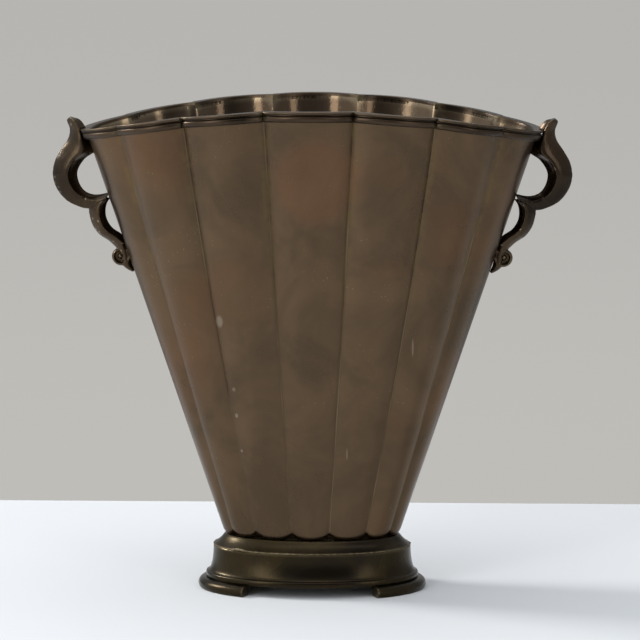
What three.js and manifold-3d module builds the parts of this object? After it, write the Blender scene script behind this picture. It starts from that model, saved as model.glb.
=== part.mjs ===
// A fan-shaped cast metal vase: a lobed, flaring body on a stepped oval foot, with two scroll handles.
// Millimetres, +Z up. The origin is on the ground, under the middle of the foot.
// +X runs along the wide side of the vase, from handle to handle, and -Y is the front.

import * as THREE from 'three';
import { mergeVertices } from 'three/addons/utils/BufferGeometryUtils.js';
import Module from 'manifold-3d';

const wasm = await Module();
wasm.setup();

// Overall sizes
const RIM_HEIGHT = 208; // top of the lip at the middle of the long side
const RIM_DROP = 12.2; // how much lower the arched rim is at the body's nominal half length
const SEAM_GAP = 0.3; // solder gap between two pieces that are joined

// Body
const BODY_BOTTOM = 23.1; // underside of the lobes
const BODY_TOP_HALF_LENGTH = 99.2; // to the crease at the handle, at rim height
const BODY_TOP_HALF_DEPTH = 42.6; // to the creases, at rim height
const BODY_BOTTOM_HALF_LENGTH = 37.2;
const BODY_BOTTOM_HALF_DEPTH = 17.6;
const WALL = 2.0;
const LOBE_RISE_TOP = 0.18; // bulge of a lobe over its chord, at the rim
const LOBE_RISE_BOTTOM = 0.14;
const LOBE_END_ROUND = 2.2; // rounding under each lobe
const LEDGE_INSET = 4.6; // inner edge of the bottom ledge, in from the outline
const LEDGE_THICKNESS = 2.0;
const FLOOR_THICKNESS = 1.8;
// Directions of the creases from the front middle to the handle, in degrees
const CREASES_TOP = [10.8, 32.2, 55.5, 90];
const CREASES_BOTTOM = [12.1, 38.1, 61.5, 90];
const LOBE_STEPS = 7;

// Rim moulding
const LIP_HEIGHT = 1.15;
const LIP_OVERHANG = 2.2;
const GROOVE_DEPTH = 1.3;
const GROOVE_HEIGHT = 0.5;
const BEAD_HEIGHT = 2.8;
const BEAD_OVERHANG = 2.1;

// Foot: every moulding is the collar's top oval, pushed out by a distance
const FOOT_HALF_LENGTH = 37.5;
const FOOT_HALF_DEPTH = 19.9;
const FOOT_WALL = 2.3;
const COLLAR_BOTTOM = 18.4;
const COLLAR_SPREAD = 4.35;
const SKIRT_TOP_SPREAD = 4.7;
const SKIRT_LIP_SPREAD = 8.0;
const SKIRT_LIP_HEIGHT = 2.2;
const END_FOOT_HEIGHT = 4.5;
const END_FOOT_SPREAD = 11.3;
const END_FOOT_WIDTH = 6.3;
const FOOT_OPENING = 55; // length of the gap between the two end feet, at their middle
const FOOT_STEPS = 72;

// Handles
const HANDLE_HALF_DEPTH = 4.8;
const HANDLE_STATIONS = 24;
const RIDGE_PLACE = 0.36; // where the ridge lies between the inner and the outer edge
const VOLUTE_RADIUS = 4.1;
const VOLUTE_HALF_DEPTH = 3.7;
const VOLUTE_EYE_RADIUS = 1.5;
const VOLUTE_EYE_RISE = 0.7;

const mix = (a, b, t) => a + (b - a) * t;
const radians = THREE.MathUtils.degToRad;

// Body outline

// The crease points of the whole outline at one height, anticlockwise from the front middle.
function creasePoints(z) {
  const t = (z - BODY_BOTTOM) / (RIM_HEIGHT - BODY_BOTTOM);
  const halfLength = mix(BODY_BOTTOM_HALF_LENGTH, BODY_TOP_HALF_LENGTH, t);
  const halfDepth = mix(BODY_BOTTOM_HALF_DEPTH, BODY_TOP_HALF_DEPTH, t);
  const quarter = CREASES_TOP.map((top, i) => {
    const angle = radians(mix(CREASES_BOTTOM[i], top, t));
    return [halfLength * Math.sin(angle), -halfDepth * Math.max(0, Math.cos(angle)) ** 0.92];
  });
  const inner = quarter.slice(0, -1);
  const end = [halfLength, 0];
  const right = [...inner, end, ...inner.map(([x, y]) => [x, -y]).reverse()];
  return [...right, ...right.map(([x, y]) => [-x, -y])];
}

// The lobed outline at one height, pushed out by a distance. Each lobe is an arc between two creases.
function bodyOutline(z, push = 0) {
  const t = (z - BODY_BOTTOM) / (RIM_HEIGHT - BODY_BOTTOM);
  const rise = mix(LOBE_RISE_BOTTOM, LOBE_RISE_TOP, t);
  const creases = creasePoints(z);
  const lobes = creases.map((from, i) => {
    const to = creases[(i + 1) % creases.length];
    const chord = Math.hypot(to[0] - from[0], to[1] - from[1]);
    const sag = rise * chord;
    const radius = (chord * chord) / (8 * sag) + sag / 2;
    const spread = Math.asin(chord / 2 / radius);
    const along = [(to[0] - from[0]) / chord, (to[1] - from[1]) / chord];
    const out = [along[1], -along[0]];
    const centre = [0, 1].map((k) => (from[k] + to[k]) / 2 - out[k] * (radius - sag));
    return Array.from({ length: LOBE_STEPS }, (_, step) => {
      const angle = mix(-spread, spread, step / LOBE_STEPS);
      const normal = [0, 1].map((k) => out[k] * Math.cos(angle) + along[k] * Math.sin(angle));
      return { centre, radius, normal };
    });
  });
  return lobes.flatMap((lobe, i) => lobe.map((p, step) => {
    const point = p.normal.map((n, k) => p.centre[k] + n * p.radius);
    let normal = p.normal;
    if (step === 0) {
      const last = endNormal(lobes[(i + lobes.length - 1) % lobes.length]);
      normal = unit([p.normal[0] + last[0], p.normal[1] + last[1]]);
    }
    return [point[0] + normal[0] * push, point[1] + normal[1] * push];
  }));
}

// The normal at the far end of a lobe, which mirrors the one at its start.
function endNormal(lobe) {
  const first = lobe[0].normal;
  const before = lobe[Math.floor(LOBE_STEPS / 2)].normal;
  const after = lobe[Math.ceil(LOBE_STEPS / 2)].normal;
  const middle = unit([before[0] + after[0], before[1] + after[1]]);
  const along = first[0] * middle[0] + first[1] * middle[1];
  return [2 * along * middle[0] - first[0], 2 * along * middle[1] - first[1]];
}

function unit([x, y]) {
  const length = Math.hypot(x, y);
  return [x / length, y / length];
}

// The height of the top of the lip, which arches over the length of the vase.
function lipTop(x) {
  return RIM_HEIGHT - RIM_DROP * (x / BODY_TOP_HALF_LENGTH) ** 2;
}

// The height of the lip's top over each point of the outline.
function archHeights() {
  const count = CREASES_TOP.length * 4 - 2;
  return Array.from({ length: count * LOBE_STEPS }, (_, i) => {
    let z = RIM_HEIGHT;
    for (let pass = 0; pass < 8; pass += 1) {
      const x = bodyOutline(z)[i][0];
      z = lipTop(x);
    }
    return z;
  });
}
const archTop = archHeights();

// Solids

// A closed skin over rings of equal length. The rings run round the section, so the last joins the first.
function ringSolid(rings) {
  const around = rings[0].length;
  const positions = rings.flat(2);
  const index = [];
  rings.forEach((_, i) => {
    const next = (i + 1) % rings.length;
    for (let j = 0; j < around; j += 1) {
      const k = (j + 1) % around;
      const [a, b, c, d] = [i * around + j, i * around + k, next * around + k, next * around + j];
      index.push(a, b, c, a, c, d);
    }
  });
  return outward(positions, index);
}

// A closed skin over a stack of rings, with flat lids on the first and the last.
function stackSolid(rings) {
  const around = rings[0].length;
  const positions = rings.flat(2);
  const index = [];
  for (let i = 0; i + 1 < rings.length; i += 1) {
    for (let j = 0; j < around; j += 1) {
      const k = (j + 1) % around;
      const [a, b] = [i * around + j, i * around + k];
      const [c, d] = [(i + 1) * around + k, (i + 1) * around + j];
      index.push(a, b, c, a, c, d);
    }
  }
  const lid = (ring, start, flip) => {
    const middle = positions.length / 3;
    const sum = ring.reduce((total, p) => total.map((v, k) => v + p[k]), [0, 0, 0]);
    positions.push(...sum.map((v) => v / ring.length));
    for (let j = 0; j < around; j += 1) {
      const k = (j + 1) % around;
      index.push(...(flip ? [middle, start + k, start + j] : [middle, start + j, start + k]));
    }
  };
  lid(rings[0], 0, true);
  lid(rings[rings.length - 1], (rings.length - 1) * around, false);
  return outward(positions, index);
}

// Builds the geometry and turns it outward if its volume comes out negative.
function outward(positions, index) {
  let volume = 0;
  for (let i = 0; i < index.length; i += 3) {
    const [a, b, c] = [0, 1, 2].map((k) => {
      const at = index[i + k] * 3;
      return new THREE.Vector3(positions[at], positions[at + 1], positions[at + 2]);
    });
    volume += a.dot(b.cross(c)) / 6;
  }
  if (volume < 0) {
    for (let i = 0; i < index.length; i += 3) {
      [index[i], index[i + 1]] = [index[i + 1], index[i]];
    }
  }
  const geometry = new THREE.BufferGeometry();
  geometry.setAttribute('position', new THREE.Float32BufferAttribute(positions, 3));
  geometry.setIndex(index);
  return geometry;
}

function toManifold(geometry) {
  const bare = geometry.clone();
  bare.deleteAttribute('normal');
  bare.deleteAttribute('uv');
  const merged = mergeVertices(bare, 1e-5);
  return new wasm.Manifold(new wasm.Mesh({
    numProp: 3,
    vertProperties: new Float32Array(merged.attributes.position.array),
    triVerts: new Uint32Array(merged.index.array),
  }));
}

function toGeometry(manifold) {
  const mesh = manifold.getMesh();
  const geometry = new THREE.BufferGeometry();
  const points = [];
  for (let i = 0; i < mesh.vertProperties.length; i += mesh.numProp) {
    points.push(mesh.vertProperties[i], mesh.vertProperties[i + 1], mesh.vertProperties[i + 2]);
  }
  geometry.setAttribute('position', new THREE.Float32BufferAttribute(points, 3));
  geometry.setIndex(Array.from(mesh.triVerts));
  return geometry;
}

// Body shell, floor and rim moulding

// A ring of the body at a share of the way from a low height up to a drop below the arch.
function wallRing(low, share, drop, push) {
  return archTop.map((top, i) => {
    const z = mix(low, top - drop, share);
    const [x, y] = bodyOutline(z, push)[i];
    return [x, y, z];
  });
}

function flatRing(z, push) {
  return bodyOutline(z, push).map(([x, y]) => [x, y, z]);
}

const WALL_TOP_DROP = LIP_HEIGHT + SEAM_GAP;
const BAND_HEIGHT = LIP_HEIGHT + GROOVE_HEIGHT + BEAD_HEIGHT;
const ROUND_TOP = BODY_BOTTOM + LOBE_END_ROUND;
const LEDGE_TOP = BODY_BOTTOM + LEDGE_THICKNESS;

function bodyShell() {
  const shares = [0.2, 0.4, 0.6, 0.8];
  const underBand = BAND_HEIGHT + 1;
  return ringSolid([
    flatRing(BODY_BOTTOM, -LEDGE_INSET),
    flatRing(BODY_BOTTOM, -LOBE_END_ROUND * 0.8),
    flatRing(BODY_BOTTOM + LOBE_END_ROUND * 0.3, -LOBE_END_ROUND * 0.25),
    flatRing(ROUND_TOP, 0),
    ...shares.map((share) => wallRing(ROUND_TOP, share, underBand, 0)),
    wallRing(ROUND_TOP, 1, underBand, 0),
    wallRing(ROUND_TOP, 1, WALL_TOP_DROP, 0),
    wallRing(ROUND_TOP, 1, WALL_TOP_DROP, -WALL),
    wallRing(ROUND_TOP, 1, underBand, -WALL),
    ...shares.toReversed().map((share) => wallRing(ROUND_TOP, share, underBand, -WALL)),
    flatRing(ROUND_TOP + 1, -WALL),
    flatRing(LEDGE_TOP, -WALL),
    flatRing(LEDGE_TOP, -LEDGE_INSET),
  ]);
}

function bodyFloor() {
  const bottom = LEDGE_TOP + SEAM_GAP;
  const inset = -(WALL + SEAM_GAP + 0.1);
  return stackSolid([flatRing(bottom, inset), flatRing(bottom + FLOOR_THICKNESS, inset)]);
}

// The band's section: distance out from the wall, and height under the top of the lip.
function rimSection() {
  const beadTop = -(LIP_HEIGHT + GROOVE_HEIGHT);
  const beadMiddle = beadTop - BEAD_HEIGHT / 2;
  const face = LIP_OVERHANG - GROOVE_DEPTH;
  const bead = [0.9, 0.62, 0.3, 0, -0.3, -0.62, -0.9].map((turn) => {
    const angle = turn * Math.PI / 2;
    return [
      face + (BEAD_OVERHANG - face) * Math.cos(angle),
      beadMiddle + Math.sin(angle) * BEAD_HEIGHT / 2,
    ];
  });
  return [
    [-WALL, -LIP_HEIGHT],
    [-WALL, -0.3],
    [-WALL + 0.35, 0],
    [LIP_OVERHANG - 0.3, 0],
    [LIP_OVERHANG, -0.3],
    [LIP_OVERHANG, -LIP_HEIGHT + 0.2],
    [LIP_OVERHANG - 0.2, -LIP_HEIGHT],
    [face, -LIP_HEIGHT - 0.1],
    ...bead,
    [SEAM_GAP, -BAND_HEIGHT],
    [SEAM_GAP, -LIP_HEIGHT],
  ];
}

function bandRing(out, height) {
  return archTop.map((top, i) => {
    const z = top + height;
    const [x, y] = bodyOutline(z, out)[i];
    return [x, y, z];
  });
}

function rimMoulding() {
  return ringSolid(rimSection().map(([out, height]) => bandRing(out, height)));
}

// Foot

// One point of the foot's oval at an angle from +X, pushed out by a distance.
function footPoint(angle, push) {
  const normal = unit([Math.cos(angle) / FOOT_HALF_LENGTH, Math.sin(angle) / FOOT_HALF_DEPTH]);
  return [
    FOOT_HALF_LENGTH * Math.cos(angle) + normal[0] * push,
    FOOT_HALF_DEPTH * Math.sin(angle) + normal[1] * push,
  ];
}

function footRing(z, push) {
  return Array.from({ length: FOOT_STEPS }, (_, i) => {
    const [x, y] = footPoint((i / FOOT_STEPS) * Math.PI * 2, push);
    return [x, y, z];
  });
}

function footCollar() {
  const top = BODY_BOTTOM - SEAM_GAP;
  const inner = COLLAR_SPREAD - FOOT_WALL;
  return ringSolid([
    footRing(COLLAR_BOTTOM, inner),
    footRing(COLLAR_BOTTOM, COLLAR_SPREAD - 0.2),
    footRing(COLLAR_BOTTOM + 0.5, COLLAR_SPREAD),
    footRing(mix(COLLAR_BOTTOM, top, 0.5), COLLAR_SPREAD * 0.55),
    footRing(top - 0.3, 0.1),
    footRing(top, -0.3),
    footRing(top, -FOOT_WALL - 1),
    footRing(top - 1.2, -FOOT_WALL - 1),
  ]);
}

const SKIRT_BOTTOM = END_FOOT_HEIGHT + SEAM_GAP;
const SKIRT_TOP = COLLAR_BOTTOM - SEAM_GAP;

// The coved skirt of the plinth, with the thin lip along its lower edge.
function footPlinth() {
  const lipTop = SKIRT_BOTTOM + SKIRT_LIP_HEIGHT;
  const coveSteps = 6;
  const cove = Array.from({ length: coveSteps + 1 }, (_, i) => {
    const angle = (i / coveSteps) * Math.PI / 2;
    return [
      mix(SKIRT_TOP_SPREAD, SKIRT_LIP_SPREAD - 0.5, 1 - Math.sin(angle)),
      mix(lipTop + 0.2, SKIRT_TOP - 0.4, 1 - Math.cos(angle)),
    ];
  });
  return ringSolid([
    footRing(SKIRT_BOTTOM, SKIRT_LIP_SPREAD - FOOT_WALL),
    footRing(SKIRT_BOTTOM, SKIRT_LIP_SPREAD - 0.3),
    footRing(SKIRT_BOTTOM + 0.3, SKIRT_LIP_SPREAD),
    footRing(lipTop - 0.3, SKIRT_LIP_SPREAD),
    footRing(lipTop, SKIRT_LIP_SPREAD - 0.3),
    ...cove.map(([push, z]) => footRing(z, push)),
    footRing(SKIRT_TOP, SKIRT_TOP_SPREAD - 0.3),
    footRing(SKIRT_TOP, SKIRT_TOP_SPREAD - FOOT_WALL),
    footRing(mix(SKIRT_BOTTOM, SKIRT_TOP, 0.45), SKIRT_TOP_SPREAD - FOOT_WALL + 0.2),
  ]);
}

// The angle at which the oval, pushed out by a distance, lies a given length from the middle.
function angleAt(length, push) {
  let [low, high] = [0, Math.PI / 2];
  for (let pass = 0; pass < 40; pass += 1) {
    const middle = (low + high) / 2;
    if (footPoint(middle, push)[0] > length) {
      low = middle;
    } else {
      high = middle;
    }
  }
  return low;
}

// One C-shaped foot round an end of the oval. Side is 1 for +X and -1 for -X.
function endFoot(side) {
  const outer = END_FOOT_SPREAD;
  const section = [
    [outer - END_FOOT_WIDTH, 0],
    [outer - 0.5, 0],
    [outer, 0.7],
    [outer - 0.1, END_FOOT_HEIGHT * 0.42],
    [outer - 0.7, END_FOOT_HEIGHT * 0.68],
    [outer - 1.7, END_FOOT_HEIGHT * 0.88],
    [outer - 3.1, END_FOOT_HEIGHT],
    [outer - END_FOOT_WIDTH, END_FOOT_HEIGHT],
  ];
  const steps = 28;
  const reach = angleAt(FOOT_OPENING / 2, END_FOOT_SPREAD - END_FOOT_WIDTH / 2);
  const rings = Array.from({ length: steps + 1 }, (_, i) => {
    const angle = mix(-reach, reach, i / steps);
    return section.map(([push, z]) => {
      const [x, y] = footPoint(angle, push);
      return [side * x, y, z];
    });
  });
  return stackSolid(rings);
}

// Handles

// The edges of each scroll in the plane y = 0, from the leaf tip down. Each point is a distance out
// from the body's end and a distance down from the rim's end, so a handle follows the body's sizes.
const UPPER_OUTER = [
  [5.3, -4.7], [7.0, -3.4], [7.2, 0.6], [9.1, 4.3], [13.8, 9.1], [18.3, 14.2],
  [21.0, 19.6], [21.6, 25.0], [19.4, 30.5], [15.3, 33.3], [11.0, 34.4], [4.3, 32.2],
];
const UPPER_INNER = [
  [4.9, -4.6], [1.6, -3.6], [0.1, 0.0], [-0.2, 4.6], [-1.1, 9.2], [5.2, 13.2],
  [10.0, 18.4], [11.0, 22.8], [10.0, 26.4], [7.2, 28.0], [4.3, 28.2], [-0.9, 27.2],
];
const LOWER_OUTER = [
  [9.4, 32.6], [10.9, 35.0], [11.5, 38.0], [11.5, 41.8], [10.0, 45.4], [6.9, 48.1], [4.6, 51.2],
];
const LOWER_INNER = [
  [-0.6, 29.2], [2.2, 32.0], [4.0, 35.6], [4.5, 39.0], [3.4, 42.4], [0.7, 44.8], [-1.7, 47.6],
];
const VOLUTE_CENTRE = [3.9, 54.2];
// The stem that runs down the wall from the lower scroll, past the volute, to the leaf drop
const LEAF_DROP = [[1.9, 48.4], [1.9, 54.0], [2.3, 57.9], [0.7, 61.0]];
const LEAF_DROP_RADII = [2.1, 1.9, 2.0, 0.6];

// How far out the crease at the body's end lies at one height.
function endLength(z) {
  const t = (z - BODY_BOTTOM) / (RIM_HEIGHT - BODY_BOTTOM);
  return mix(BODY_BOTTOM_HALF_LENGTH, BODY_TOP_HALF_LENGTH, t);
}

function rimEndHeight() {
  let z = RIM_HEIGHT;
  for (let pass = 0; pass < 12; pass += 1) {
    z = lipTop(endLength(z));
  }
  return z;
}

// A handle's point, given out from the body's end and down from the rim's end, as x and z.
function handlePoint([out, down]) {
  const z = rimEndHeight() - down;
  return [endLength(z) + out, z];
}

function curveThrough(points) {
  const route = points.map(handlePoint).map(([x, z]) => new THREE.Vector3(x, 0, z));
  return new THREE.CatmullRomCurve3(route, false, 'centripetal');
}

// A kite-shaped bar between an outer and an inner edge, with a ridge on its front and back.
function scrollBar(outerPoints, innerPoints, depthAt) {
  const outer = curveThrough(outerPoints);
  const inner = curveThrough(innerPoints);
  const half = [
    [0, 0.16], [RIDGE_PLACE * 0.5, 0.5], [RIDGE_PLACE, 1],
    [mix(RIDGE_PLACE, 1, 0.45), 0.84], [mix(RIDGE_PLACE, 1, 0.82), 0.46],
  ];
  const section = [
    ...half.map(([place, depth]) => [place, -depth]),
    [1, 0],
    ...half.toReversed(),
  ];
  const rings = Array.from({ length: HANDLE_STATIONS + 1 }, (_, i) => {
    const t = i / HANDLE_STATIONS;
    const from = inner.getPoint(t);
    const to = outer.getPoint(t);
    const depth = HANDLE_HALF_DEPTH * depthAt(t);
    return section.map(([place, rise]) => {
      const point = from.clone().lerp(to, place);
      return [point.x, rise * depth, point.z];
    });
  });
  return toManifold(stackSolid(rings));
}

// A round disc along Y, with a small raised eye on its front and back.
function volute() {
  const [x, z] = handlePoint(VOLUTE_CENTRE);
  const disc = wasm.Manifold.cylinder(VOLUTE_HALF_DEPTH * 2, VOLUTE_RADIUS, VOLUTE_RADIUS, 28, true);
  const eyeLength = (VOLUTE_HALF_DEPTH + VOLUTE_EYE_RISE) * 2;
  const eye = wasm.Manifold.cylinder(eyeLength, VOLUTE_EYE_RADIUS, VOLUTE_EYE_RADIUS, 16, true);
  return disc.add(eye).rotate([90, 0, 0]).translate([x, 0, z]);
}

// The stem along the wall and the small leaf under the volute, which tapers to a tip.
function leafDrop() {
  const balls = LEAF_DROP.map(handlePoint).map(([x, z], i) => {
    return wasm.Manifold.sphere(LEAF_DROP_RADII[i], 14).scale([1, 1.15, 1]).translate([x, 0, z]);
  });
  const links = balls.slice(1).map((ball, i) => wasm.Manifold.hull([balls[i], ball]));
  return links.reduce((whole, link) => whole.add(link));
}

// The space of the body and its rim band, grown by the solder gap, which the handles stay out of.
function bodyAndGap() {
  const from = ROUND_TOP;
  const wall = [flatRing(from, SEAM_GAP)];
  [0.25, 0.5, 0.75, 1].forEach((share) => wall.push(wallRing(from, share, 1, SEAM_GAP)));
  const reach = Math.max(LIP_OVERHANG, BEAD_OVERHANG) + SEAM_GAP;
  const band = [bandRing(reach, -BAND_HEIGHT - SEAM_GAP), bandRing(reach, SEAM_GAP)];
  return toManifold(stackSolid(wall)).add(toManifold(stackSolid(band)));
}

function handle(side) {
  const upperDepth = (t) => 0.35 + 0.65 * Math.sin(Math.PI * Math.min(1, t * 1.25 + 0.04)) ** 0.6;
  const swell = (t) => (t < 0.8 ? upperDepth(t) : mix(upperDepth(0.8), 0.7, (t - 0.8) / 0.2));
  const lowerDepth = (t) => mix(0.82, 0.7, t);
  const whole = scrollBar(UPPER_OUTER, UPPER_INNER, swell)
    .add(scrollBar(LOWER_OUTER, LOWER_INNER, lowerDepth))
    .add(volute())
    .add(leafDrop());
  const trimmed = whole.subtract(bodyAndGap());
  const largest = trimmed.decompose().sort((a, b) => b.volume() - a.volume())[0];
  return toGeometry(side > 0 ? largest : largest.mirror([1, 0, 0]));
}

// Assembly

function metal(color, roughness) {
  return new THREE.MeshStandardMaterial({ color, roughness, metalness: 1 });
}

function piece(name, geometry, material) {
  const mesh = new THREE.Mesh(geometry, material);
  mesh.name = name;
  return mesh;
}

const bodyBrown = () => metal(0x5b4a3b, 0.45);
const footBrown = () => metal(0x3a3022, 0.35);

const vase = new THREE.Group();
vase.name = 'fan_vase';

const body = new THREE.Group();
body.name = 'body';
body.add(
  piece('body_shell', bodyShell(), bodyBrown()),
  piece('body_floor', bodyFloor(), bodyBrown()),
  piece('rim_moulding', rimMoulding(), metal(0x4a3c30, 0.4)),
);

const foot = new THREE.Group();
foot.name = 'foot';
foot.add(
  piece('foot_collar', footCollar(), footBrown()),
  piece('foot_plinth', footPlinth(), footBrown()),
  piece('right_end_foot', endFoot(1), footBrown()),
  piece('left_end_foot', endFoot(-1), footBrown()),
);

const handles = new THREE.Group();
handles.name = 'handles';
handles.add(
  piece('handle_right', handle(1), metal(0x4b3d31, 0.35)),
  piece('handle_left', handle(-1), metal(0x4b3d31, 0.35)),
);

vase.add(body, foot, handles);

export default vase;
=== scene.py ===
"""The looks of a fan-shaped cast metal vase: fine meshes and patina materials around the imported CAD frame."""

import math

import bmesh
import bpy
import numpy as np
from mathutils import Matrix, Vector


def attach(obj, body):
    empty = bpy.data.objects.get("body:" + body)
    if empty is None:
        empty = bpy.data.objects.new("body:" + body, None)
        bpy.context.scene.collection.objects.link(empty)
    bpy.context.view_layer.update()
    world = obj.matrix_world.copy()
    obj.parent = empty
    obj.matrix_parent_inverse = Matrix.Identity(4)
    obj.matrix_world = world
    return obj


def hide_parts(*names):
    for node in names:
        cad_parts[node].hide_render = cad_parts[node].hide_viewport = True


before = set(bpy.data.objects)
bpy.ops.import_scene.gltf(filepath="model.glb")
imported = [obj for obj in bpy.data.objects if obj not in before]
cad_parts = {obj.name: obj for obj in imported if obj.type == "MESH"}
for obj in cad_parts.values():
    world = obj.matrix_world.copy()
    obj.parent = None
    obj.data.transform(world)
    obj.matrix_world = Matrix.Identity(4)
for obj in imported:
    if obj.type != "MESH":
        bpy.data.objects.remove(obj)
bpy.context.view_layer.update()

MM = 0.001

# Sizes in millimetres: the CAD model's, with rim height and top depth a hair less to stay inside its facets
RIM_HEIGHT = 207.98
RIM_DROP = 12.2
BODY_BOTTOM = 23.1
BODY_TOP_HALF = (99.2, 42.45)
BODY_BOTTOM_HALF = (37.2, 17.6)
WALL = 2.0
LOBE_RISE_TOP = 0.18
LOBE_RISE_BOTTOM = 0.14
LOBE_END_ROUND = 2.2
LEDGE_INSET = 4.6
LOBE_SCALLOP = 1.8
CREASES_TOP = (10.8, 32.2, 55.5, 90.0)
CREASES_BOTTOM = (12.1, 38.1, 61.5, 90.0)

LIP_HEIGHT = 1.15
LIP_OVERHANG = 2.2
GROOVE_DEPTH = 1.3
GROOVE_HEIGHT = 0.5
BEAD_HEIGHT = 2.8
BEAD_OVERHANG = 2.1
BAND_HEIGHT = LIP_HEIGHT + GROOVE_HEIGHT + BEAD_HEIGHT

FOOT_HALF = (37.5, 19.9)
FOOT_WALL = 2.3
COLLAR_BOTTOM = 18.4
COLLAR_SPREAD = 4.35
SKIRT_TOP_SPREAD = 4.7
SKIRT_LIP_SPREAD = 8.0
SKIRT_LIP_HEIGHT = 2.2
END_FOOT_HEIGHT = 4.5
END_FOOT_SPREAD = 11.3
END_FOOT_WIDTH = 6.3
FOOT_OPENING = 55.0

HANDLE_HALF_DEPTH = 4.8
RIDGE_PLACE = 0.36

# Fineness of the meshes
LOBE_STEPS = 22
WALL_ROWS = 70
FOOT_STEPS = 220
BAR_STATIONS = 90
HANDLE_VOXEL = 0.30

# Which crease angle each of the 14 creases uses, and on which side of the two middle planes it lies
CREASE_ANGLE = np.array([0, 1, 2, 3, 2, 1, 0] * 2)
CREASE_X = np.array([1] * 7 + [-1] * 7)
CREASE_Y = np.array([-1, -1, -1, 0, 1, 1, 1, 1, 1, 1, 0, -1, -1, -1])
LOBES = len(CREASE_ANGLE)


def linear(hex_colour):
    """An sRGB colour such as 5b4a3b as linear RGBA."""
    values = [int(hex_colour[i:i + 2], 16) / 255 for i in (0, 2, 4)]
    return tuple(v / 12.92 if v <= 0.04045 else ((v + 0.055) / 1.055) ** 2.4 for v in values) + (1.0,)


def mix(a, b, t):
    return a + (b - a) * t


# Body outline

def crease_points(which, z):
    """The x and y of creases at heights z. Both arguments are arrays of one shape."""
    t = (z - BODY_BOTTOM) / (RIM_HEIGHT - BODY_BOTTOM)
    length = mix(BODY_BOTTOM_HALF[0], BODY_TOP_HALF[0], t)
    depth = mix(BODY_BOTTOM_HALF[1], BODY_TOP_HALF[1], t)
    low = np.radians(np.array(CREASES_BOTTOM))[CREASE_ANGLE[which]]
    high = np.radians(np.array(CREASES_TOP))[CREASE_ANGLE[which]]
    angle = mix(low, high, t)
    side = np.maximum(0.0, np.cos(angle)) ** 0.92
    return length * np.sin(angle) * CREASE_X[which], depth * side * CREASE_Y[which]


def lobe_points(lobe, share, z):
    """Points and outward normals on the arcs between creases, at a share along each lobe."""
    t = (z - BODY_BOTTOM) / (RIM_HEIGHT - BODY_BOTTOM)
    rise = mix(LOBE_RISE_BOTTOM, LOBE_RISE_TOP, t)
    x0, y0 = crease_points((lobe - 1) % LOBES, z)
    x1, y1 = crease_points(lobe % LOBES, z)
    chord = np.hypot(x1 - x0, y1 - y0)
    ax, ay = (x1 - x0) / chord, (y1 - y0) / chord
    sag = rise * chord
    radius = chord ** 2 / (8 * sag) + sag / 2
    spread = np.arcsin(chord / 2 / radius)
    angle = mix(-spread, spread, share)
    nx = ay * np.cos(angle) + ax * np.sin(angle)
    ny = -ax * np.cos(angle) + ay * np.sin(angle)
    cx = (x0 + x1) / 2 - ay * (radius - sag)
    cy = (y0 + y1) / 2 + ax * (radius - sag)
    return cx + nx * radius, cy + ny * radius, nx, ny, chord


LOBE_OF = np.repeat(np.arange(LOBES), LOBE_STEPS)
SHARE_OF = np.tile(np.arange(LOBE_STEPS) / LOBE_STEPS, LOBES)


def outline(z, push=0.0):
    """The lobed outline, with a height for each point, pushed out by a distance."""
    z = np.broadcast_to(np.asarray(z, float), LOBE_OF.shape)
    x, y, nx, ny, _ = lobe_points(LOBE_OF, SHARE_OF, z)
    _, _, mx, my, _ = lobe_points((LOBE_OF - 1) % LOBES, np.ones_like(SHARE_OF), z)
    at_crease = SHARE_OF == 0
    nx = np.where(at_crease, nx + mx, nx)
    ny = np.where(at_crease, ny + my, ny)
    length = np.hypot(nx, ny)
    return np.stack([x + nx / length * push, y + ny / length * push, z], axis=1)


def lip_top(x):
    """The height of the top of the lip, which arches over the length of the vase."""
    return RIM_HEIGHT - RIM_DROP * (x / BODY_TOP_HALF[0]) ** 2


def arch_heights():
    top = np.full(LOBE_OF.shape, RIM_HEIGHT)
    for _ in range(8):
        top = lip_top(outline(top)[:, 0])
    return top


ARCH = arch_heights()


def crease_distance():
    """How far each point of the outline lies from its nearest crease, in millimetres at the rim."""
    z = np.full(LOBE_OF.shape, RIM_HEIGHT)
    chord = lobe_points(LOBE_OF, SHARE_OF, z)[4]
    return np.minimum(SHARE_OF, 1 - SHARE_OF) * chord


def wall_end(y, z):
    """How far out the body's end wall stands at a place across it and a height."""
    ring = outline(z)
    end = ring[(ring[:, 0] > 0.8 * ring[:, 0].max())]
    order = np.argsort(end[:, 1])
    return float(np.interp(y, end[order, 1], end[order, 0]))


# Meshes

def make_object(name, verts, faces, sharp=35.0, values=None):
    mesh = bpy.data.meshes.new(name)
    mesh.from_pydata([tuple(v) for v in np.asarray(verts) * MM], [], faces)
    mesh.validate()
    if values is not None:
        layer = mesh.attributes.new("crease_mm", "FLOAT", "POINT")
        layer.data.foreach_set("value", np.asarray(values, dtype=np.float32))
    obj = bpy.data.objects.new(name, mesh)
    bpy.context.scene.collection.objects.link(obj)
    shade(obj, sharp)
    return obj


def shade(obj, sharp):
    """Turns the faces outward, smooths them, and keeps edges sharper than an angle crisp."""
    work = bmesh.new()
    work.from_mesh(obj.data)
    bmesh.ops.recalc_face_normals(work, faces=work.faces)
    for face in work.faces:
        face.smooth = True
    for edge in work.edges:
        if len(edge.link_faces) == 2:
            edge.smooth = edge.calc_face_angle(0.0) < math.radians(sharp)
    work.to_mesh(obj.data)
    work.free()


def ring_faces(rings, around, wrap):
    faces = []
    for i in range(rings if wrap else rings - 1):
        low, high = i * around, ((i + 1) % rings) * around
        faces += [
            (low + j, low + (j + 1) % around, high + (j + 1) % around, high + j)
            for j in range(around)
        ]
    return faces


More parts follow.
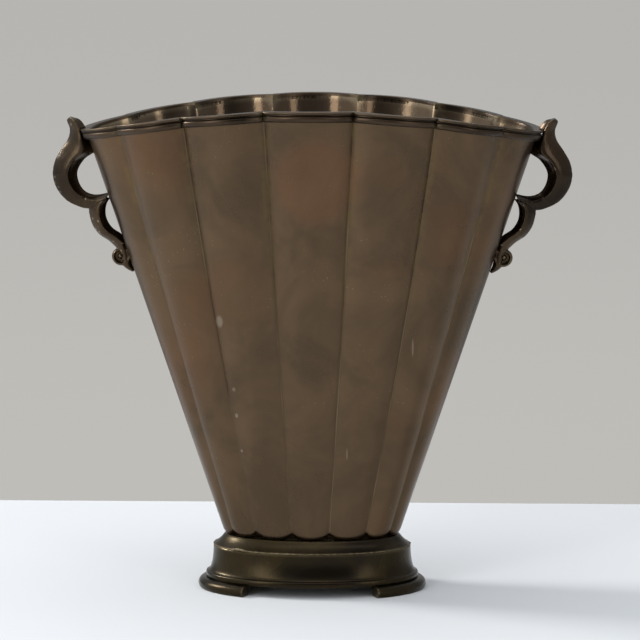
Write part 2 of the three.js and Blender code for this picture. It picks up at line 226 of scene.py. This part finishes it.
def ring_object(name, rings, sharp=35.0, values=None, wrap=True):
    around = len(rings[0])
    faces = ring_faces(len(rings), around, wrap)
    if not wrap:
        faces.append(tuple(range(around)))
        faces.append(tuple(range((len(rings) - 1) * around, len(rings) * around)))
    spread = None if values is None else np.tile(values, len(rings))
    return make_object(name, np.concatenate(rings), faces, sharp, spread)


# Materials

class Graph:
    """A short way to build a material's nodes: values are set, and sockets are linked."""

    def __init__(self, name):
        self.material = bpy.data.materials.new(name)
        self.material.use_nodes = True
        self.tree = self.material.node_tree
        self.tree.nodes.clear()

    def add(self, kind, options=None, **inputs):
        node = self.tree.nodes.new("ShaderNode" + kind)
        for key, value in (options or {}).items():
            setattr(node, key, value)
        for key, value in inputs.items():
            socket = node.inputs[int(key[1:])] if key[0] == "i" and key[1:].isdigit() else \
                node.inputs[key.replace("_", " ")]
            if isinstance(value, bpy.types.NodeSocket):
                self.tree.links.new(value, socket)
            else:
                socket.default_value = value
        return node

    def math(self, operation, a, b=0.0, clamp=False):
        options = {"operation": operation, "use_clamp": clamp}
        return self.add("Math", options, i0=a, i1=b).outputs[0]

    def ramp(self, value, low, high, out_low=0.0, out_high=1.0):
        """Maps a value smoothly from one range to another, clamped."""
        options = {"interpolation_type": "SMOOTHSTEP"}
        return self.add(
            "MapRange", options, Value=value, From_Min=low, From_Max=high,
            To_Min=out_low, To_Max=out_high,
        ).outputs[0]

    def blend(self, share, a, b):
        node = self.add("Mix", {"data_type": "RGBA"}, i0=share, i6=a, i7=b)
        return node.outputs[2]

    def noise(self, place, scale, detail=3.0, roughness=0.55, distortion=0.0):
        return self.add(
            "TexNoise", None, Vector=place, Scale=scale, Detail=detail,
            Roughness=roughness, Distortion=distortion,
        ).outputs[0]

    def stretched(self, place, scale, offset=(0.0, 0.0, 0.0)):
        return self.add("Mapping", None, Vector=place, Scale=scale, Location=offset).outputs[0]

    def spot(self, place, centre, reach):
        """A soft oval spot on the front, by centre and half-sizes in millimetres."""
        scale = tuple(1 / (r * MM) for r in reach)
        offset = tuple(-c / r for c, r in zip(centre, reach))
        near = self.stretched(place, scale, offset)
        length = self.add("VectorMath", {"operation": "LENGTH"}, i0=near).outputs["Value"]
        return self.ramp(length, 1.0, 0.6)


def patina(name, deep, plain, warm, rubbed, green, roughness, seed, marks=(), creases=False):
    """Brown patina on brass: clouds of colour, rubbed edges, verdigris, fine pits and brush marks; along creases,
    also painted shade and a painted highlight.
    """
    g = Graph(name)
    place = g.add("TexCoord").outputs["Object"]
    shifted = g.stretched(place, (1.0, 1.0, 1.0), (seed, seed * 0.7, seed * 0.3))
    clouds = g.noise(shifted, 26.0, 4.0, 0.6, 0.6)
    drips = g.noise(g.stretched(shifted, (1.0, 1.0, 0.16)), 70.0, 3.0)
    grain = g.noise(shifted, 900.0, 2.0)
    warmth = g.noise(shifted, 15.0, 2.0)

    tone = g.blend(g.ramp(clouds, 0.32, 0.68), linear(deep), linear(plain))
    tone = g.blend(g.ramp(warmth, 0.5, 0.72, 0.0, 0.55), tone, linear(warm))
    tone = g.blend(g.ramp(drips, 0.52, 0.75, 0.0, 0.35), tone, linear(deep))

    specks = g.add("TexVoronoi", None, Vector=shifted, Scale=420.0).outputs["Distance"]
    speck_share = g.math("MULTIPLY", g.ramp(specks, 0.16, 0.05), g.ramp(clouds, 0.5, 0.62))
    tone = g.blend(g.math("MULTIPLY", speck_share, 0.45), tone, linear(rubbed))

    pointiness = g.add("NewGeometry").outputs["Pointiness"]
    edge = g.math("MULTIPLY", g.ramp(pointiness, 0.52, 0.58), g.ramp(clouds, 0.3, 0.6, 0.35, 0.9))
    tone = g.blend(edge, tone, linear(rubbed))
    hollow = g.ramp(pointiness, 0.485, 0.44)
    tone = g.blend(g.math("MULTIPLY", hollow, 0.6), tone, linear(deep))

    patches = g.noise(shifted, 120.0, 3.0, 0.65)
    if creases:
        away = g.add("Attribute", {"attribute_name": "crease_mm"}).outputs["Fac"]
        height = g.add("SeparateXYZ", None, Vector=place).outputs["Z"]
        near_crease = g.ramp(away, 4.0, 0.0)
        upper = g.ramp(height, 0.105, 0.175, 0.12, 1.0)
        dirt = g.math("MULTIPLY", near_crease, g.ramp(patches, 0.44, 0.62))
        verdigris = g.math("MULTIPLY", dirt, upper)
        # Painted shade: the patina is darkened toward the deep colour within about 1.6 mm of each crease.
        line = g.ramp(away, 1.6, 0.5, 0.0, 0.4)
        tone = g.blend(line, tone, linear(deep))
        # Painted highlight: a thin, broken line of the rubbed colour right along each crease.
        crease_highlight = g.math("MULTIPLY", g.ramp(away, 0.6, 0.1), g.ramp(drips, 0.42, 0.66, 0.0, 0.45))
        tone = g.blend(crease_highlight, tone, linear(rubbed))
    else:
        verdigris = g.math("MULTIPLY", hollow, g.ramp(patches, 0.5, 0.66))
    tone = g.blend(g.math("MULTIPLY", verdigris, 0.32), tone, linear(green))

    for centre, reach, colour, strength in marks:
        shape = g.math("MULTIPLY", g.spot(place, centre, reach), strength)
        tone = g.blend(shape, tone, linear(colour))

    rough = g.ramp(clouds, 0.3, 0.7, roughness - 0.06, roughness + 0.07)
    rough = g.math("ADD", rough, g.math("MULTIPLY", verdigris, 0.3), clamp=True)
    pits = g.ramp(specks, 0.12, 0.3)
    height_map = g.math("ADD", g.math("MULTIPLY", grain, 0.35), g.math("MULTIPLY", pits, 0.15))
    height_map = g.math("ADD", height_map, g.math("MULTIPLY", drips, 0.5))
    height_map = g.math("ADD", height_map, g.math("MULTIPLY", verdigris, 0.6))
    bump = g.add("Bump", None, Strength=0.35, Distance=0.00025, Height=height_map).outputs[0]
    shader = g.add(
        "BsdfPrincipled", None, Base_Color=tone, Metallic=0.92, Roughness=rough, Normal=bump,
    )
    shader.inputs["Coat Weight"].default_value = 0.12
    shader.inputs["Coat Roughness"].default_value = 0.3
    g.add("OutputMaterial", None, Surface=shader.outputs[0])
    return g.material


# Marks on the body's front: place and half-sizes in millimetres, colour, strength
BODY_MARKS = (
    ((-38.0, -31.0, 118.0), (2.2, 9.0, 3.7), "8f8473", 0.55),
    ((-31.0, -25.0, 77.5), (0.9, 9.0, 1.3), "8f8473", 0.6),
    ((-29.0, -24.0, 62.0), (0.8, 9.0, 1.0), "8f8473", 0.6),
    ((-32.0, -25.0, 89.0), (0.9, 9.0, 1.1), "7d7263", 0.6),
    ((-42.0, -20.0, 58.5), (1.0, 9.0, 3.0), "7d7263", 0.5),
    ((43.0, -27.0, 107.0), (0.5, 9.0, 5.0), "8a7a66", 0.5),
    ((15.5, -27.0, 61.5), (0.4, 9.0, 3.4), "8a7a66", 0.5),
    ((4.0, -45.0, 178.0), (24.0, 16.0, 22.0), "7a5138", 0.30),
)


def place_piece(obj, node, material):
    obj.data.materials.append(material)
    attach(obj, "root")
    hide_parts(node)
    return obj


# Body shell, floor and rim

def body_rings():
    """The section of the body from the underside out, up the wall, over the top and down inside."""
    across = np.abs(2 * SHARE_OF - 1)
    scallop = LOBE_SCALLOP * across ** 3
    low = BODY_BOTTOM + scallop
    rings = [outline(BODY_BOTTOM, -LEDGE_INSET), outline(BODY_BOTTOM, -LOBE_END_ROUND)]
    for turn in np.linspace(0.12, 1.0, 7):
        angle = turn * math.pi / 2
        z = low + LOBE_END_ROUND * (1 - math.cos(angle))
        rings.append(outline(z, -LOBE_END_ROUND * (1 - math.sin(angle))))
    start = low + LOBE_END_ROUND
    under_lip = ARCH - LIP_HEIGHT - 0.05
    shares = np.linspace(0, 1, WALL_ROWS)[1:]
    rings += [outline(mix(start, under_lip, share)) for share in shares]
    outer_rings = len(rings)
    inner_start = BODY_BOTTOM + LOBE_END_ROUND + 1.0
    rings += [outline(mix(inner_start, under_lip, share), -WALL) for share in shares[::-1]]
    rings.append(outline(BODY_BOTTOM + 2.0, -WALL))
    rings.append(outline(BODY_BOTTOM + 2.0, -LEDGE_INSET))
    return rings, outer_rings


def build_body(material, inside):
    rings, outer_rings = body_rings()
    shell = ring_object("lobed_body", rings, 50.0, crease_distance())
    place_piece(shell, "body_shell", material)
    shell.data.materials.append(inside)
    for polygon in shell.data.polygons:
        if min(polygon.vertices) >= outer_rings * len(LOBE_OF):
            polygon.material_index = 1
    plate_z = BODY_BOTTOM + 2.3
    inset = -(WALL + 0.4)
    rings = [outline(plate_z, inset), outline(plate_z + 1.5, inset), outline(plate_z + 1.8, inset - 0.4)]
    plate = ring_object("floor_plate", rings, wrap=False)
    place_piece(plate, "body_floor", inside)


def rim_section():
    """The rim band's section: distance out from the wall, and height under the top of the lip."""
    face = LIP_OVERHANG - GROOVE_DEPTH
    bead_middle = -(LIP_HEIGHT + GROOVE_HEIGHT) - BEAD_HEIGHT / 2
    lip_round = 0.35
    points = [(-WALL, -LIP_HEIGHT - 1.5), (-WALL, -LIP_HEIGHT)]
    for turn in np.linspace(0, 1, 4):
        angle = turn * math.pi / 2
        points.append((-WALL + lip_round * (1 - math.cos(angle)), -lip_round * (1 - math.sin(angle))))
    for turn in np.linspace(1, -1, 8):
        angle = turn * math.pi / 2
        points.append((
            LIP_OVERHANG - 0.5 + 0.5 * math.cos(angle),
            -LIP_HEIGHT / 2 + math.sin(angle) * LIP_HEIGHT / 2,
        ))
    points.append((face, -LIP_HEIGHT - 0.1))
    for turn in np.linspace(0.95, -0.97, 12):
        angle = turn * math.pi / 2
        points.append((
            face + (BEAD_OVERHANG - face) * math.cos(angle),
            bead_middle + math.sin(angle) * BEAD_HEIGHT / 2,
        ))
    points += [(0.05, -BAND_HEIGHT), (0.05, -LIP_HEIGHT - 1.5)]
    return points


def build_rim(material):
    rings = [outline(ARCH + height, out) for out, height in rim_section()]
    band = ring_object("rim_band", rings, 42.0, crease_distance())
    place_piece(band, "rim_moulding", material)


# Foot

def foot_points(angles, push, z):
    nx, ny = np.cos(angles) / FOOT_HALF[0], np.sin(angles) / FOOT_HALF[1]
    length = np.hypot(nx, ny)
    x = FOOT_HALF[0] * np.cos(angles) + nx / length * push
    y = FOOT_HALF[1] * np.sin(angles) + ny / length * push
    return np.stack([x, y, np.broadcast_to(z, x.shape)], axis=1)


AROUND = np.arange(FOOT_STEPS) / FOOT_STEPS * 2 * math.pi


def foot_rings(section):
    return [foot_points(AROUND, push, z) for push, z in section]


def build_collar(material):
    top = BODY_BOTTOM - 0.05
    inner = COLLAR_SPREAD - FOOT_WALL
    section = [(inner, COLLAR_BOTTOM), (COLLAR_SPREAD - 0.2, COLLAR_BOTTOM), (COLLAR_SPREAD, COLLAR_BOTTOM + 0.3)]
    for share in np.linspace(0.08, 1, 9):
        hollow = 0.35 * math.sin(math.pi * share)
        section.append((mix(COLLAR_SPREAD, 0.1, share) - hollow, mix(COLLAR_BOTTOM + 0.3, top - 0.3, share)))
    section += [(-0.3, top), (-FOOT_WALL - 1, top), (-FOOT_WALL - 1, top - 1.2)]
    collar = ring_object("collar", foot_rings(section))
    place_piece(collar, "foot_collar", material)


def build_plinth(material):
    bottom = END_FOOT_HEIGHT + 0.05
    top = COLLAR_BOTTOM - 0.05
    lip_top = bottom + SKIRT_LIP_HEIGHT + 0.25
    section = [(SKIRT_LIP_SPREAD - FOOT_WALL, bottom)]
    for turn in np.linspace(-1, 1, 8):
        angle = turn * math.pi / 2
        section.append((
            SKIRT_LIP_SPREAD - 0.4 + 0.4 * math.cos(angle),
            mix(bottom, lip_top, (math.sin(angle) + 1) / 2),
        ))
    for turn in np.linspace(0, 1, 12):
        angle = turn * math.pi / 2
        section.append((
            mix(SKIRT_TOP_SPREAD, SKIRT_LIP_SPREAD - 0.6, 1 - math.sin(angle)),
            mix(lip_top + 0.1, top - 0.4, 1 - math.cos(angle)),
        ))
    section += [
        (SKIRT_TOP_SPREAD - 0.3, top), (SKIRT_TOP_SPREAD - FOOT_WALL, top),
        (SKIRT_TOP_SPREAD - FOOT_WALL + 0.2, mix(bottom, top, 0.45)),
    ]
    plinth = ring_object("plinth", foot_rings(section))
    place_piece(plinth, "foot_plinth", material)


def build_end_feet(material):
    outer = END_FOOT_SPREAD
    section = [(outer - END_FOOT_WIDTH, 0.0), (outer - 0.6, 0.0)]
    for share in np.linspace(0, 1, 12):
        angle = mix(-0.35, 1.0, share) * math.pi / 2
        section.append((
            outer - 3.1 + 3.1 * math.cos(angle),
            mix(0.25, END_FOOT_HEIGHT, (math.sin(angle) + 0.52) / 1.52),
        ))
    section.append((outer - END_FOOT_WIDTH, END_FOOT_HEIGHT))
    quarter = np.linspace(0, math.pi / 2, 400)
    along = foot_points(quarter, END_FOOT_SPREAD - END_FOOT_WIDTH / 2, 0.0)[:, 0]
    reach = float(np.interp(-FOOT_OPENING / 2, -along, quarter))
    angles = np.linspace(-reach, reach, 80)
    for name, node, side in (("right_foot", "right_end_foot", 1), ("left_foot", "left_end_foot", -1)):
        columns = np.stack([foot_points(angles, push, z) for push, z in section], axis=1)
        columns[:, :, 0] *= side
        foot = ring_object(name, list(columns), wrap=False)
        place_piece(foot, node, material)


def build_solder_seam(material):
    """The ragged line of solder along the step between the collar and the skirt."""
    rng = np.random.default_rng(7)
    count = 420
    angles = np.arange(count) / count * 2 * math.pi
    waves = sum(
        rng.uniform(0.4, 1.0) * np.sin(angles * k + rng.uniform(0, 6.3)) for k in (9, 17, 31, 47, 73, 101)
    )
    size = 0.30 + 0.07 * waves
    blob = np.exp(-((angles - math.radians(222)) / 0.09) ** 2)
    size = np.clip(size, 0.12, 0.6) + 0.55 * blob
    rings = []
    for turn in np.linspace(0, 2 * math.pi, 9)[:-1]:
        out = COLLAR_SPREAD + 0.1 + size * math.cos(turn)
        rise = COLLAR_BOTTOM + 0.15 + size * math.sin(turn) * 0.9 + 0.4 * blob
        rings.append(foot_points(angles, out, rise))
    seam = ring_object("solder_seam", rings, 60.0)
    seam.data.materials.append(material)
    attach(seam, "root")


# Handles: the edges of the scrolls, out from the body's end and down from the rim's end
UPPER_OUTER = (
    (5.3, -4.7), (7.0, -3.4), (7.2, 0.6), (9.1, 4.3), (13.8, 9.1), (18.3, 14.2),
    (21.0, 19.6), (21.6, 25.0), (19.4, 30.5), (15.3, 33.3), (11.0, 34.4), (4.3, 32.2),
)
UPPER_INNER = (
    (4.9, -4.6), (1.6, -3.6), (0.1, 0.0), (-0.2, 4.6), (-1.1, 9.2), (5.2, 13.2),
    (10.0, 18.4), (11.0, 22.8), (10.0, 26.4), (7.2, 28.0), (4.3, 28.2), (-0.9, 27.2),
)
LOWER_OUTER = (
    (9.4, 32.6), (10.9, 35.0), (11.5, 38.0), (11.5, 41.8), (10.0, 45.4), (6.9, 48.1), (4.6, 51.2),
)
LOWER_INNER = (
    (-0.6, 29.2), (2.2, 32.0), (4.0, 35.6), (4.5, 39.0), (3.4, 42.4), (0.7, 44.8), (-1.7, 47.6),
)
VOLUTE_CENTRE = (3.9, 54.2)
LEAF_DROP = ((1.9, 48.4), (1.9, 54.0), (2.3, 57.9), (0.7, 61.0))
LEAF_DROP_RADII = (2.1, 1.9, 2.0, 0.6)


def end_length(z):
    t = (z - BODY_BOTTOM) / (RIM_HEIGHT - BODY_BOTTOM)
    return mix(BODY_BOTTOM_HALF[0], BODY_TOP_HALF[0], t)


def rim_end_height():
    z = RIM_HEIGHT
    for _ in range(12):
        z = lip_top(end_length(z))
    return z


def handle_point(out, down):
    """A handle's point as x and z."""
    z = rim_end_height() - down
    return end_length(z) + out, z


def curve_points(points, count):
    """Points along a centripetal Catmull-Rom curve, as many per stretch as its share of the count."""
    pts = np.array([handle_point(*p) for p in points], float)
    pts = np.vstack([2 * pts[0] - pts[1], pts, 2 * pts[-1] - pts[-2]])
    result = []
    for t in np.linspace(0, len(points) - 1, count):
        i = min(int(t), len(points) - 2)
        p = pts[i:i + 4]
        knots = np.concatenate([[0], np.cumsum(np.linalg.norm(np.diff(p, axis=0), axis=1) ** 0.5)])
        u = mix(knots[1], knots[2], t - i)
        a = [mix(p[k], p[k + 1], (u - knots[k]) / (knots[k + 1] - knots[k])) for k in range(3)]
        b = [mix(a[k], a[k + 1], (u - knots[k]) / (knots[k + 2] - knots[k])) for k in range(2)]
        result.append(mix(b[0], b[1], (u - knots[1]) / (knots[2] - knots[1])))
    return np.array(result)


def bar_mesh(outer_points, inner_points, depth_at):
    outer = curve_points(outer_points, BAR_STATIONS)
    inner = curve_points(inner_points, BAR_STATIONS)
    half = [(0, 0.10), (RIDGE_PLACE * 0.3, 0.27), (RIDGE_PLACE * 0.6, 0.52), (RIDGE_PLACE * 0.85, 0.84),
            (RIDGE_PLACE, 1.0)]
    for share in (0.2, 0.4, 0.6, 0.8, 0.93):
        half.append((mix(RIDGE_PLACE, 1, share), 0.12 + 0.88 * math.cos(share * math.pi / 2) ** 0.8 - 0.12 * share))
    section = [(place, -depth) for place, depth in half] + [(1.0, 0.0)] + half[::-1]
    rings = []
    for i, t in enumerate(np.linspace(0, 1, BAR_STATIONS)):
        depth = HANDLE_HALF_DEPTH * depth_at(t)
        ring = []
        for place, rise in section:
            x, z = mix(inner[i], outer[i], place)
            ring.append((x, rise * depth, z))
        rings.append(np.array(ring))
    return rings


def swept_tube(route, radii, sides=16, flatten=1.0):
    """A round tube in planes across the route, in the plane y = 0 or beside it."""
    route = np.array(route, float)
    tangent = np.gradient(route, axis=0)
    rings = []
    for p, t, r in zip(route, tangent, radii):
        t = t / np.linalg.norm(t)
        side = np.array([0.0, 1.0, 0.0]) if abs(t[1]) < 0.9 else np.array([1.0, 0.0, 0.0])
        across = np.cross(t, side)
        across /= np.linalg.norm(across)
        turns = np.arange(sides) / sides * 2 * math.pi
        rings.append(np.array([p + r * (across * math.cos(a) + side * flatten * math.sin(a)) for a in turns]))
    return rings


def handle_rings():
    def upper_depth(t):
        swell = 0.35 + 0.65 * max(0.0, math.sin(math.pi * min(1, t * 1.25 + 0.04))) ** 0.6
        return swell if t < 0.8 else mix(0.35, 0.7, (t - 0.8) / 0.2)

    parts = [
        bar_mesh(UPPER_OUTER, UPPER_INNER, upper_depth),
        bar_mesh(LOWER_OUTER, LOWER_INNER, lambda t: mix(0.82, 0.72, t)),
    ]
    # The volute: a curl that winds in to its eye, round a recessed core
    cx, cz = handle_point(*VOLUTE_CENTRE)
    grow = np.linspace(1, 0, 70)
    turns = 0.25 * math.pi - 2 * math.pi * 1.35 * (1 - grow)
    reach = 0.6 + 3.5 * grow ** 0.6
    curl = np.stack([cx - reach * np.cos(turns), 0 * turns, cz + reach * np.sin(turns)], axis=1)
    parts.append(swept_tube(curl, 0.55 + 0.45 * grow, flatten=2.9))
    parts.append(swept_tube([(cx, y, cz) for y in np.linspace(-1.2, 1.2, 9)], [2.8] * 9, 28))
    parts.append(swept_tube([(cx, y, cz) for y in np.linspace(-2.9, 2.9, 9)], [0.6, 1.0, 1.2, 1.2, 1.2, 1.2, 1.2, 1.0, 0.6]))
    stem = curve_points(LEAF_DROP, 40)
    radii = np.interp(np.linspace(0, 1, 40), np.linspace(0, 1, 4), LEAF_DROP_RADII)
    parts.append(swept_tube(np.stack([stem[:, 0], np.zeros(40), stem[:, 1]], axis=1), radii, flatten=1.3))
    return parts


def build_handle(name, node, side, material):
    verts, faces = [], []
    for rings in handle_rings():
        start = sum(len(v) for v in verts)
        around = len(rings[0])
        local = ring_faces(len(rings), around, False)
        local.append(tuple(range(around)))
        local.append(tuple(range((len(rings) - 1) * around, len(rings) * around)))
        faces += [tuple(start + i for i in face) for face in local]
        verts.append(np.concatenate(rings))
    obj = make_object(name, np.concatenate(verts), faces)
    modifier = obj.modifiers.new("one_casting", "REMESH")
    modifier.mode = "VOXEL"
    modifier.voxel_size = HANDLE_VOXEL * MM
    smooth = obj.modifiers.new("soften", "SMOOTH")
    smooth.factor = 0.5
    smooth.iterations = 3
    evaluated = obj.evaluated_get(bpy.context.evaluated_depsgraph_get())
    mesh = bpy.data.meshes.new_from_object(evaluated)
    obj.modifiers.clear()
    obj.data = mesh
    seat_on_body(mesh)
    if side < 0:
        for vertex in mesh.vertices:
            vertex.co.x *= -1
        mesh.flip_normals()
    for polygon in mesh.polygons:
        polygon.use_smooth = True
    place_piece(obj, node, material)


def seat_on_body(mesh):
    """Moves what would lie inside the wall or the rim band out to its face."""
    heights = np.arange(125.0, 200.0, 1.0)
    across = np.linspace(-7, 7, 29)
    limit = np.array([[wall_end(y, z) for y in across] for z in heights])
    for vertex in mesh.vertices:
        x, y, z = (c / MM for c in vertex.co)
        row = min(max(int(round(z - heights[0])), 0), len(heights) - 1)
        wall = float(np.interp(y, across, limit[row]))
        top = lip_top(wall)
        if top - BAND_HEIGHT < z < top + 0.05:
            wall += LIP_OVERHANG
        if z < top + 0.05 and x < wall + 0.02:
            vertex.co.x = (wall + 0.02) * MM


# Stage: table, backdrop, lights and camera

TABLE_EDGE = 0.184
TABLE_FRONT = -1.1
BACKDROP = 1.9
CAMERA_DISTANCE = 1.554
CAMERA_HEIGHT = 0.343
CAMERA_AZIMUTH = 2.0
LENS = 208.0
WORLD_DIM = 0.22
WORLD_PALE = 0.62
LOOK_AT = (0.0034, 0.0, 0.1151)


def stage_material(name, shown, shown_low, lit, plain_share=0.0):
    """A matt surface that the camera sees as a painted glow to a share, and lit for the rest; the glow runs from
    the low colour below to the other above, a painted fall-off of light.
    """
    g = Graph(name)
    place = g.add("TexCoord").outputs["Object"]
    mottle = g.noise(place, 3.0, 2.0)
    tint = g.blend(g.ramp(mottle, 0.3, 0.7), linear(lit), tuple(v * 0.985 for v in linear(lit)[:3]) + (1.0,))
    height = g.add("SeparateXYZ", None, Vector=place).outputs["Z"]
    # Painted light: the glow the camera sees changes from the low colour to the high colour with height, a painted
    # fall-off of light.
    painted_falloff_colour = g.blend(g.ramp(height, -0.32, 0.14), linear(shown_low), linear(shown))
    surface = g.add("BsdfDiffuse", None, Color=tint).outputs[0]
    glow = g.add("Emission", None, Color=painted_falloff_colour, Strength=1.0).outputs[0]
    seen = g.math("MULTIPLY", g.add("LightPath").outputs["Is Camera Ray"], plain_share)
    mixed = g.add("MixShader", None, i0=seen, i1=surface, i2=glow).outputs[0]
    g.add("OutputMaterial", None, Surface=mixed)
    return g.material


def stage_plane(name, corners, material):
    mesh = bpy.data.meshes.new(name)
    mesh.from_pydata(corners, [], [(0, 1, 2, 3)])
    obj = bpy.data.objects.new(name, mesh)
    bpy.context.scene.collection.objects.link(obj)
    mesh.materials.append(material)


def build_stage():
    table = stage_material("table_white", "e9ecf0", "e9ecf0", "dcdfe2", 0.0)
    # The backdrop's seen colour is a painted glow, paler at the bottom than at the top: a painted fall-off of
    # light.
    wall = stage_material("backdrop_grey", "b9b7b3", "c3c1bc", "c4c2be", 0.85)
    edge = TABLE_EDGE
    front = TABLE_FRONT
    stage_plane("table", [(-1.2, front, 0), (1.2, front, 0), (1.2, edge, 0), (-1.2, edge, 0)], table)
    stage_plane("table_side", [(-1.2, edge, 0), (1.2, edge, 0), (1.2, edge, -0.5), (-1.2, edge, -0.5)], table)
    stage_plane("backdrop", [(-3.5, BACKDROP, -0.8), (3.5, BACKDROP, -0.8), (3.5, BACKDROP, 2.2), (-3.5, BACKDROP, 2.2)], wall)


def add_light(name, place, target, size, power, colour=(1.0, 1.0, 1.0)):
    data = bpy.data.lights.new(name, "AREA")
    data.shape = "RECTANGLE"
    data.size, data.size_y = size
    data.energy = power
    data.color = colour
    obj = bpy.data.objects.new(name, data)
    obj.location = place
    obj.rotation_euler = (Vector(target) - Vector(place)).to_track_quat("-Z", "Y").to_euler()
    bpy.context.scene.collection.objects.link(obj)


def build_lights():
    middle = (0.0, 0.0, 0.1)
    add_light("key_left", (-1.42, 0.36, 1.05), middle, (0.35, 0.45), 19.0, (1.0, 0.985, 0.965))
    add_light("front_soft", (-0.98, -1.25, 0.68), middle, (0.42, 1.25), 6.5, (1.0, 0.99, 0.975))
    add_light("top_soft", (0.1, -0.1, 1.5), middle, (1.2, 0.9), 5.0)
    add_light("front_right", (1.02, -1.2, 0.62), middle, (0.34, 1.15), 3.0, (1.0, 0.99, 0.98))
    world = bpy.data.worlds.new("studio")
    bpy.context.scene.world = world
    world.use_nodes = True
    tree = world.node_tree
    tree.nodes.clear()
    # The room is dim in front and below, and pale to the sides and above
    place = tree.nodes.new("ShaderNodeTexCoord")
    split = tree.nodes.new("ShaderNodeSeparateXYZ")
    tree.links.new(place.outputs["Generated"], split.inputs[0])
    ahead = tree.nodes.new("ShaderNodeMapRange")
    ahead.interpolation_type = "SMOOTHSTEP"
    ahead.inputs["From Min"].default_value = -0.95
    ahead.inputs["From Max"].default_value = -0.55
    ahead.inputs["To Min"].default_value = WORLD_DIM
    ahead.inputs["To Max"].default_value = WORLD_PALE
    tree.links.new(split.outputs["Y"], ahead.inputs["Value"])
    below = tree.nodes.new("ShaderNodeMapRange")
    below.interpolation_type = "SMOOTHSTEP"
    below.inputs["From Min"].default_value = -0.25
    below.inputs["From Max"].default_value = 0.1
    below.inputs["To Min"].default_value = 0.75
    below.inputs["To Max"].default_value = 1.0
    tree.links.new(split.outputs["Z"], below.inputs["Value"])
    aside = tree.nodes.new("ShaderNodeMapRange")
    aside.interpolation_type = "SMOOTHSTEP"
    aside.inputs["From Min"].default_value = -0.45
    aside.inputs["From Max"].default_value = 0.35
    aside.inputs["To Min"].default_value = 1.6
    aside.inputs["To Max"].default_value = 0.85
    tree.links.new(split.outputs["X"], aside.inputs["Value"])
    level = tree.nodes.new("ShaderNodeMath")
    level.operation = "MULTIPLY"
    tree.links.new(ahead.outputs[0], level.inputs[0])
    tree.links.new(below.outputs[0], level.inputs[1])
    strength = tree.nodes.new("ShaderNodeMath")
    strength.operation = "MULTIPLY"
    tree.links.new(level.outputs[0], strength.inputs[0])
    tree.links.new(aside.outputs[0], strength.inputs[1])
    background = tree.nodes.new("ShaderNodeBackground")
    background.inputs["Color"].default_value = (0.93, 0.96, 1.0, 1.0)
    output = tree.nodes.new("ShaderNodeOutputWorld")
    tree.links.new(strength.outputs[0], background.inputs["Strength"])
    tree.links.new(background.outputs[0], output.inputs[0])


def build_camera():
    data = bpy.data.cameras.new("photo_camera")
    data.lens = LENS
    data.sensor_width = 36.0
    camera = bpy.data.objects.new("photo_camera", data)
    azimuth = math.radians(CAMERA_AZIMUTH)
    place = Vector((
        CAMERA_DISTANCE * math.sin(azimuth), -CAMERA_DISTANCE * math.cos(azimuth), CAMERA_HEIGHT,
    ))
    camera.location = place
    camera.rotation_euler = (Vector(LOOK_AT) - place).to_track_quat("-Z", "Y").to_euler()
    bpy.context.scene.collection.objects.link(camera)
    bpy.context.scene.camera = camera
    bpy.context.scene.view_settings.view_transform = "Standard"


# Assembly

body_patina = patina(
    "body_patina", "4f402f", "624e39", "674831", "8f7f64", "7d6c42", 0.31, 0.0, BODY_MARKS, True,
)
inside_patina = patina("inside_patina", "46382a", "615240", "574634", "84755e", "635d42", 0.16, 2.0)
rim_patina = patina("rim_patina", "2c2217", "46382a", "483626", "7d6d56", "6a6340", 0.30, 4.0, (), True)
foot_patina = patina("foot_patina", "1d160b", "31270f", "2f2411", "665a40", "4a4c2c", 0.26, 6.0)
handle_patina = patina("handle_patina", "281f15", "4a3c2b", "4b3827", "8d7d63", "5d5f3a", 0.27, 8.0)
solder = patina("solder_grey", "332a1b", "564b37", "4e4430", "7d7159", "565a3c", 0.5, 11.0)

build_body(body_patina, inside_patina)
build_rim(rim_patina)
build_collar(foot_patina)
build_plinth(foot_patina)
build_end_feet(foot_patina)
build_solder_seam(solder)
build_handle("right_scroll", "handle_right", 1, handle_patina)
build_handle("left_scroll", "handle_left", -1, handle_patina)
build_stage()
build_lights()
build_camera()
